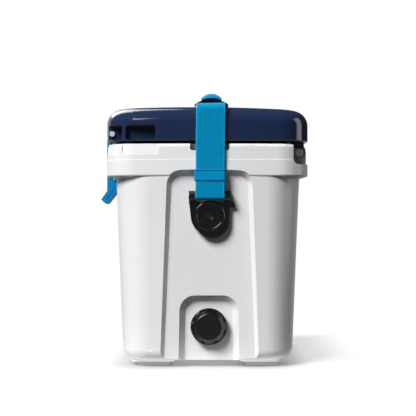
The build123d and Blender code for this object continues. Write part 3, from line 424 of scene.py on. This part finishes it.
# %% Strip helpers
def grow_row(form, row):
    """Extrudes a row of edges; returns the points and the edges of the new row."""
    new = bmesh.ops.extrude_edge_only(form, edges=row)["geom"]
    points = [item for item in new if isinstance(item, bmesh.types.BMVert)]
    edges = [item for item in new if isinstance(item, bmesh.types.BMEdge)]
    return points, [edge for edge in edges if all(vert in points for vert in edge.verts)]


class Strip:
    """A strip of webbing, grown row by row in the plane of the X and Z axes."""

    def __init__(self, place, half, cuts=12):
        self.form = bmesh.new()
        self.along = self.form.verts.layers.float.new("along")
        self.across = self.form.verts.layers.float.new("across")
        self.length = 0.0
        ends = [self.form.verts.new((place[0], place[1] + side * half, place[2])) for side in (-1, 1)]
        edge = self.form.edges.new(ends)
        bmesh.ops.subdivide_edges(self.form, edges=[edge], cuts=cuts)
        self.row = list(self.form.edges)
        for vert in self.form.verts:
            vert[self.across] = vert.co.y - place[1]

    def grow(self, distance):
        """Extrudes the last row and returns the points of the new one."""
        points, self.row = grow_row(self.form, self.row)
        self.length += distance
        for vert in points:
            vert[self.along] = self.length
        return points

    def straight(self, x, z, step=4 * MM):
        """Goes on by x and z, in steps of a few millimetres."""
        run = Vector((x, 0, z))
        count = max(1, round(run.length / step))
        for _ in range(count):
            bmesh.ops.translate(self.form, verts=self.grow(run.length / count), vec=run / count)

    def bend(self, middle, angle, steps):
        """Turns by an angle in degrees about a line along Y through the middle of the bend."""
        for _ in range(steps):
            radius = (self.row[0].verts[0].co.xz - Vector(middle)).length
            points = self.grow(radius * radians(abs(angle)) / steps)
            turn = Matrix.Rotation(radians(angle / steps), 3, "Y")
            bmesh.ops.rotate(self.form, cent=(middle[0], 0, middle[1]), matrix=turn, verts=points)


def finish_piece(form, name, material, body, smooth=True):
    """Makes a mesh object of a form, with outward faces, and lets it ride."""
    bmesh.ops.remove_doubles(form, verts=form.verts, dist=1e-6)
    bmesh.ops.recalc_face_normals(form, faces=form.faces)
    mesh = bpy.data.meshes.new(name)
    form.to_mesh(mesh)
    form.free()
    piece = bpy.data.objects.new(name, mesh)
    bpy.context.scene.collection.objects.link(piece)
    mesh.materials.append(material)
    for face in mesh.polygons:
        face.use_smooth = smooth
    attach(piece, body)
    return piece


def thicken(piece, thickness, edge):
    """Gives a strip its thickness and softens its corners."""
    wall = piece.modifiers.new("thickness", "SOLIDIFY")
    wall.thickness = thickness
    wall.offset = 0.0
    soft = piece.modifiers.new("soft edges", "BEVEL")
    soft.width = edge
    soft.segments = 3
    soft.limit_method = "ANGLE"
    soft.angle_limit = radians(50)


print("strip helpers ready")

# %% [markdown]
# ## The carry strap
# One length of webbing goes from a bracket at one end, over the lid, to the
# bracket at the other. At each end it turns round a steel bar and is sewn to
# its own back. Measures come from the solids: the bars, and the boxes round the
# plain webbing and its keeper loops.

# %% Carry strap
web_low, web_high = (Vector(corner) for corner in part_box("strap_webbing"))
bar_low, bar_high = (Vector(corner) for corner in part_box("strap_bars"))
loop_low, loop_high = (Vector(corner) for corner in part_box("strap_keepers"))
THICK = 2 * MM
SOFT_EDGE = 0.6 * MM
BEND = 9 * MM           # radius of the strap's middle at the edges of the lid
LAYER = 0.95 * THICK    # the sewn end lies this far inside the strap
strap_y = (web_low.y + web_high.y) / 2
half_strap = (web_high.y - web_low.y) / 2
outer_x = web_high.x - THICK / 2
top_z = web_high.z - THICK / 2
bar_z = (bar_low.z + bar_high.z) / 2
loop_radius = bar_z - web_low.z - THICK / 2
bar_x = outer_x - loop_radius
back_x = outer_x - LAYER
shift = back_x - (bar_x - loop_radius)
tilt = 2.2 * shift      # radius of the two bends that lead from the sewn end to the bar
slant = degrees(acos(1 - shift / (2 * tilt)))
sewn_top = loop_high.z - 5 * MM     # the sewn end stops inside the keeper loop
sewn_low = loop_low.z - 4 * MM      # and leaves the strap's back below it
bend_low = sewn_low - 2 * tilt * sin(radians(slant))

strap = Strip((back_x, strap_y, sewn_top), half_strap)
strap.straight(0, sewn_low - sewn_top)
strap.bend((back_x - tilt, sewn_low), slant, 4)
strap.bend((bar_x - loop_radius + tilt, bend_low), -slant, 4)
strap.straight(0, bar_z - bend_low)
strap.bend((bar_x, bar_z), -180, 16)
strap.straight(0, top_z - BEND - bar_z)
strap.bend((outer_x - BEND, top_z - BEND), -90, 10)
strap.straight(-2 * (outer_x - BEND), 0)
strap.bend((BEND - outer_x, top_z - BEND), -90, 10)
strap.straight(0, bar_z - top_z + BEND)
strap.bend((-bar_x, bar_z), -180, 16)
strap.straight(0, bend_low - bar_z)
strap.bend((-bar_x + loop_radius - tilt, bend_low), -slant, 4)
strap.bend((tilt - back_x, sewn_low), slant, 4)
strap.straight(0, sewn_top - sewn_low)
print("webbing is", round(strap.length, 3), "m long")

# %% Slack in the strap
# a real strap never hangs quite true: it leans a little aft on its way up, and
# arches a little over the lid, most of all at its rear edge
LEAN = 1.3 * MM
ARCH_MM = 1.2
ARCH_TILT_MM = 0.4
for vert in strap.form.verts:
    up = max(0, (vert.co.z - bar_z) / (top_z - bar_z))
    vert.co.y += LEAN * up
    if vert.co.z > top_z - BEND:
        vert.co.z += (ARCH_MM + ARCH_TILT_MM * vert[strap.across] / half_strap) * MM
webbing = finish_piece(strap.form, "webbing", blue_webbing, "strap")
thicken(webbing, THICK, SOFT_EDGE)
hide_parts("strap_webbing")
print("webbing:", len(webbing.data.polygons), "faces")

# %% [markdown]
# ## The keeper loops
# A short sleeve of binding is sewn round the doubled webbing, so that the sewn
# end lies flat. It has a hem at its foot and one at its top, which give the two
# bright lines across the strap, together with the binding's lighter selvedge
# there, which is partly a painted highlight. A flat frame with rounded corners is
# extruded upwards, and at the hems its outer side steps outwards. The steps add
# up, so the sleeve's outer side is 2 mm further out at its top than at its foot.

# %% Keeper loops
BINDING = 0.8 * MM
CORNER = 1.6 * MM
# height of each row, and how far its outer side steps out from the row below, in millimetres
STEPS = [(0.4, 0.3), (1.1, 0.4), (1.7, 0.25), (2.0, 0.0), (5.0, 0.0), (8.1, 0.1), (11.2, 0.0),
         (14.2, 0.0), (14.5, 0.25), (15.1, 0.4), (15.8, 0.3), (16.2, 0.0)]


def keeper(side):
    """The keeper loop at the end on the +X side (1) or on the -X side (-1)."""
    middle = Vector((side * (outer_x + back_x) / 2, strap_y, 0))
    half_x = (loop_high.x - web_high.x) / 2 + (web_high.x - back_x + THICK / 2) / 2
    half_y = (loop_high.y - loop_low.y) / 2
    form = bmesh.new()
    along = form.verts.layers.float.new("along")
    across = form.verts.layers.float.new("across")
    bmesh.ops.create_grid(form, x_segments=1, y_segments=1, size=1)
    bmesh.ops.scale(form, vec=(half_x, half_y, 1), verts=form.verts)
    bmesh.ops.bevel(form, geom=form.verts[:], offset=CORNER, segments=4, profile=0.5,
                    affect="VERTICES", material=-1)
    long_edges = [edge for edge in form.edges if edge.calc_length() > 10 * MM]
    bmesh.ops.subdivide_edges(form, edges=long_edges, cuts=8)
    bmesh.ops.delete(form, geom=form.faces[:], context="FACES_ONLY")
    bmesh.ops.translate(form, vec=middle + Vector((0, 0, loop_low.z)), verts=form.verts)
    row = form.edges[:]
    height = 0.0
    for level, out in STEPS:
        points, row = grow_row(form, row)
        bmesh.ops.translate(form, vec=(0, 0, (level - height) * MM), verts=points)
        height = level
        for vert in points:
            if (vert.co.x - middle.x) * side > 0:
                vert.co.x += side * out * MM
    # the binding runs round the strap, so its own length lies across it, and its lighter selvedge, partly a
    # painted highlight, lies along the two hems
    for vert in form.verts:
        vert[along] = vert.co.y
        vert[across] = vert.co.z - loop_low.z - height * MM / 2
    name = "keeper_right" if side > 0 else "keeper_left"
    piece = finish_piece(form, name, blue_binding, "strap", smooth=False)
    thicken(piece, BINDING, 0.2 * MM)
    return piece


keepers = [keeper(1), keeper(-1)]
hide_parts("strap_keepers")
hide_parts("strap_keepers")
print("keepers:", [piece.name for piece in keepers])

# %% [markdown]
# ## The fold over the slider
# The strap's free end is folded over the slider's middle bar. The fold is
# pinched at its edges, so from the end of the cooler it looks like a small
# cap: high in the middle and falling to both sides. A strip is bent over in a
# half turn, flattened, and its edges are then pulled down.

# %% Fold
PINCH_MM = 3.2          # how far the edges are pulled down at the foot; at the top it is twice that
PINCH_POWER = 2.2
fold_low, fold_high = (Vector(corner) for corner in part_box("strap_fold"))
fold_middle = (fold_low + fold_high) / 2
foot_z = fold_low.z + THICK / 2
half_wide = (fold_high.y - fold_low.y) / 2
half_long = (fold_high.x - fold_low.x) / 2 - THICK / 2
rise = fold_high.z - fold_low.z - THICK
fold = Strip((fold_middle.x + half_long, fold_middle.y, foot_z), half_wide)
fold.bend((fold_middle.x, foot_z), -180, 20)
for vert in fold.form.verts:
    vert.co.z = foot_z + (vert.co.z - foot_z) * rise / half_long
    out = abs(vert[fold.across]) / half_wide
    high = (vert.co.z - foot_z) / rise
    vert.co.z -= PINCH_MM * (1 + high) * MM * out ** PINCH_POWER
folded = finish_piece(fold.form, "webbing_fold", blue_webbing, "slider")
thicken(folded, THICK, SOFT_EDGE)
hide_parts("strap_fold")
print("fold:", folded.dimensions)

# %% Finishes for the solids
FINISH = {
    white_shell: ["body_shell"],
    white_liner: ["body_liner", "lid_liner"],
    foam: ["body_foam", "lid_foam"],
    navy_shell: ["lid_shell"],
    blue_elastomer: ["latch"],
    blue_webbing: ["strap_webbing", "strap_keepers", "strap_fold"],
    black_nylon: ["drain_spout", "drain_nut", "drain_cap", "pivot_buttons", "pivot_washers",
                  "hinge_lugs", "strap_brackets", "strap_slider"],
    grey_nylon: ["hinge_blocks"],
    black_rubber: ["drain_ring", "lid_gasket"],
    foot_rubber: ["foot_pads"],
    bright_steel: ["latch_rod", "strap_bars", "lug_screws", "block_screws", "foot_screws"],
    black_steel: ["pivot_screws"],
    pin_steel: ["hinge_pins"],
}
for material, names in FINISH.items():
    for name in names:
        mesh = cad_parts[name].data
        mesh.materials.clear()
        mesh.materials.append(material)
print("finished", sum(len(names) for names in FINISH.values()), "of", len(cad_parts), "nodes")
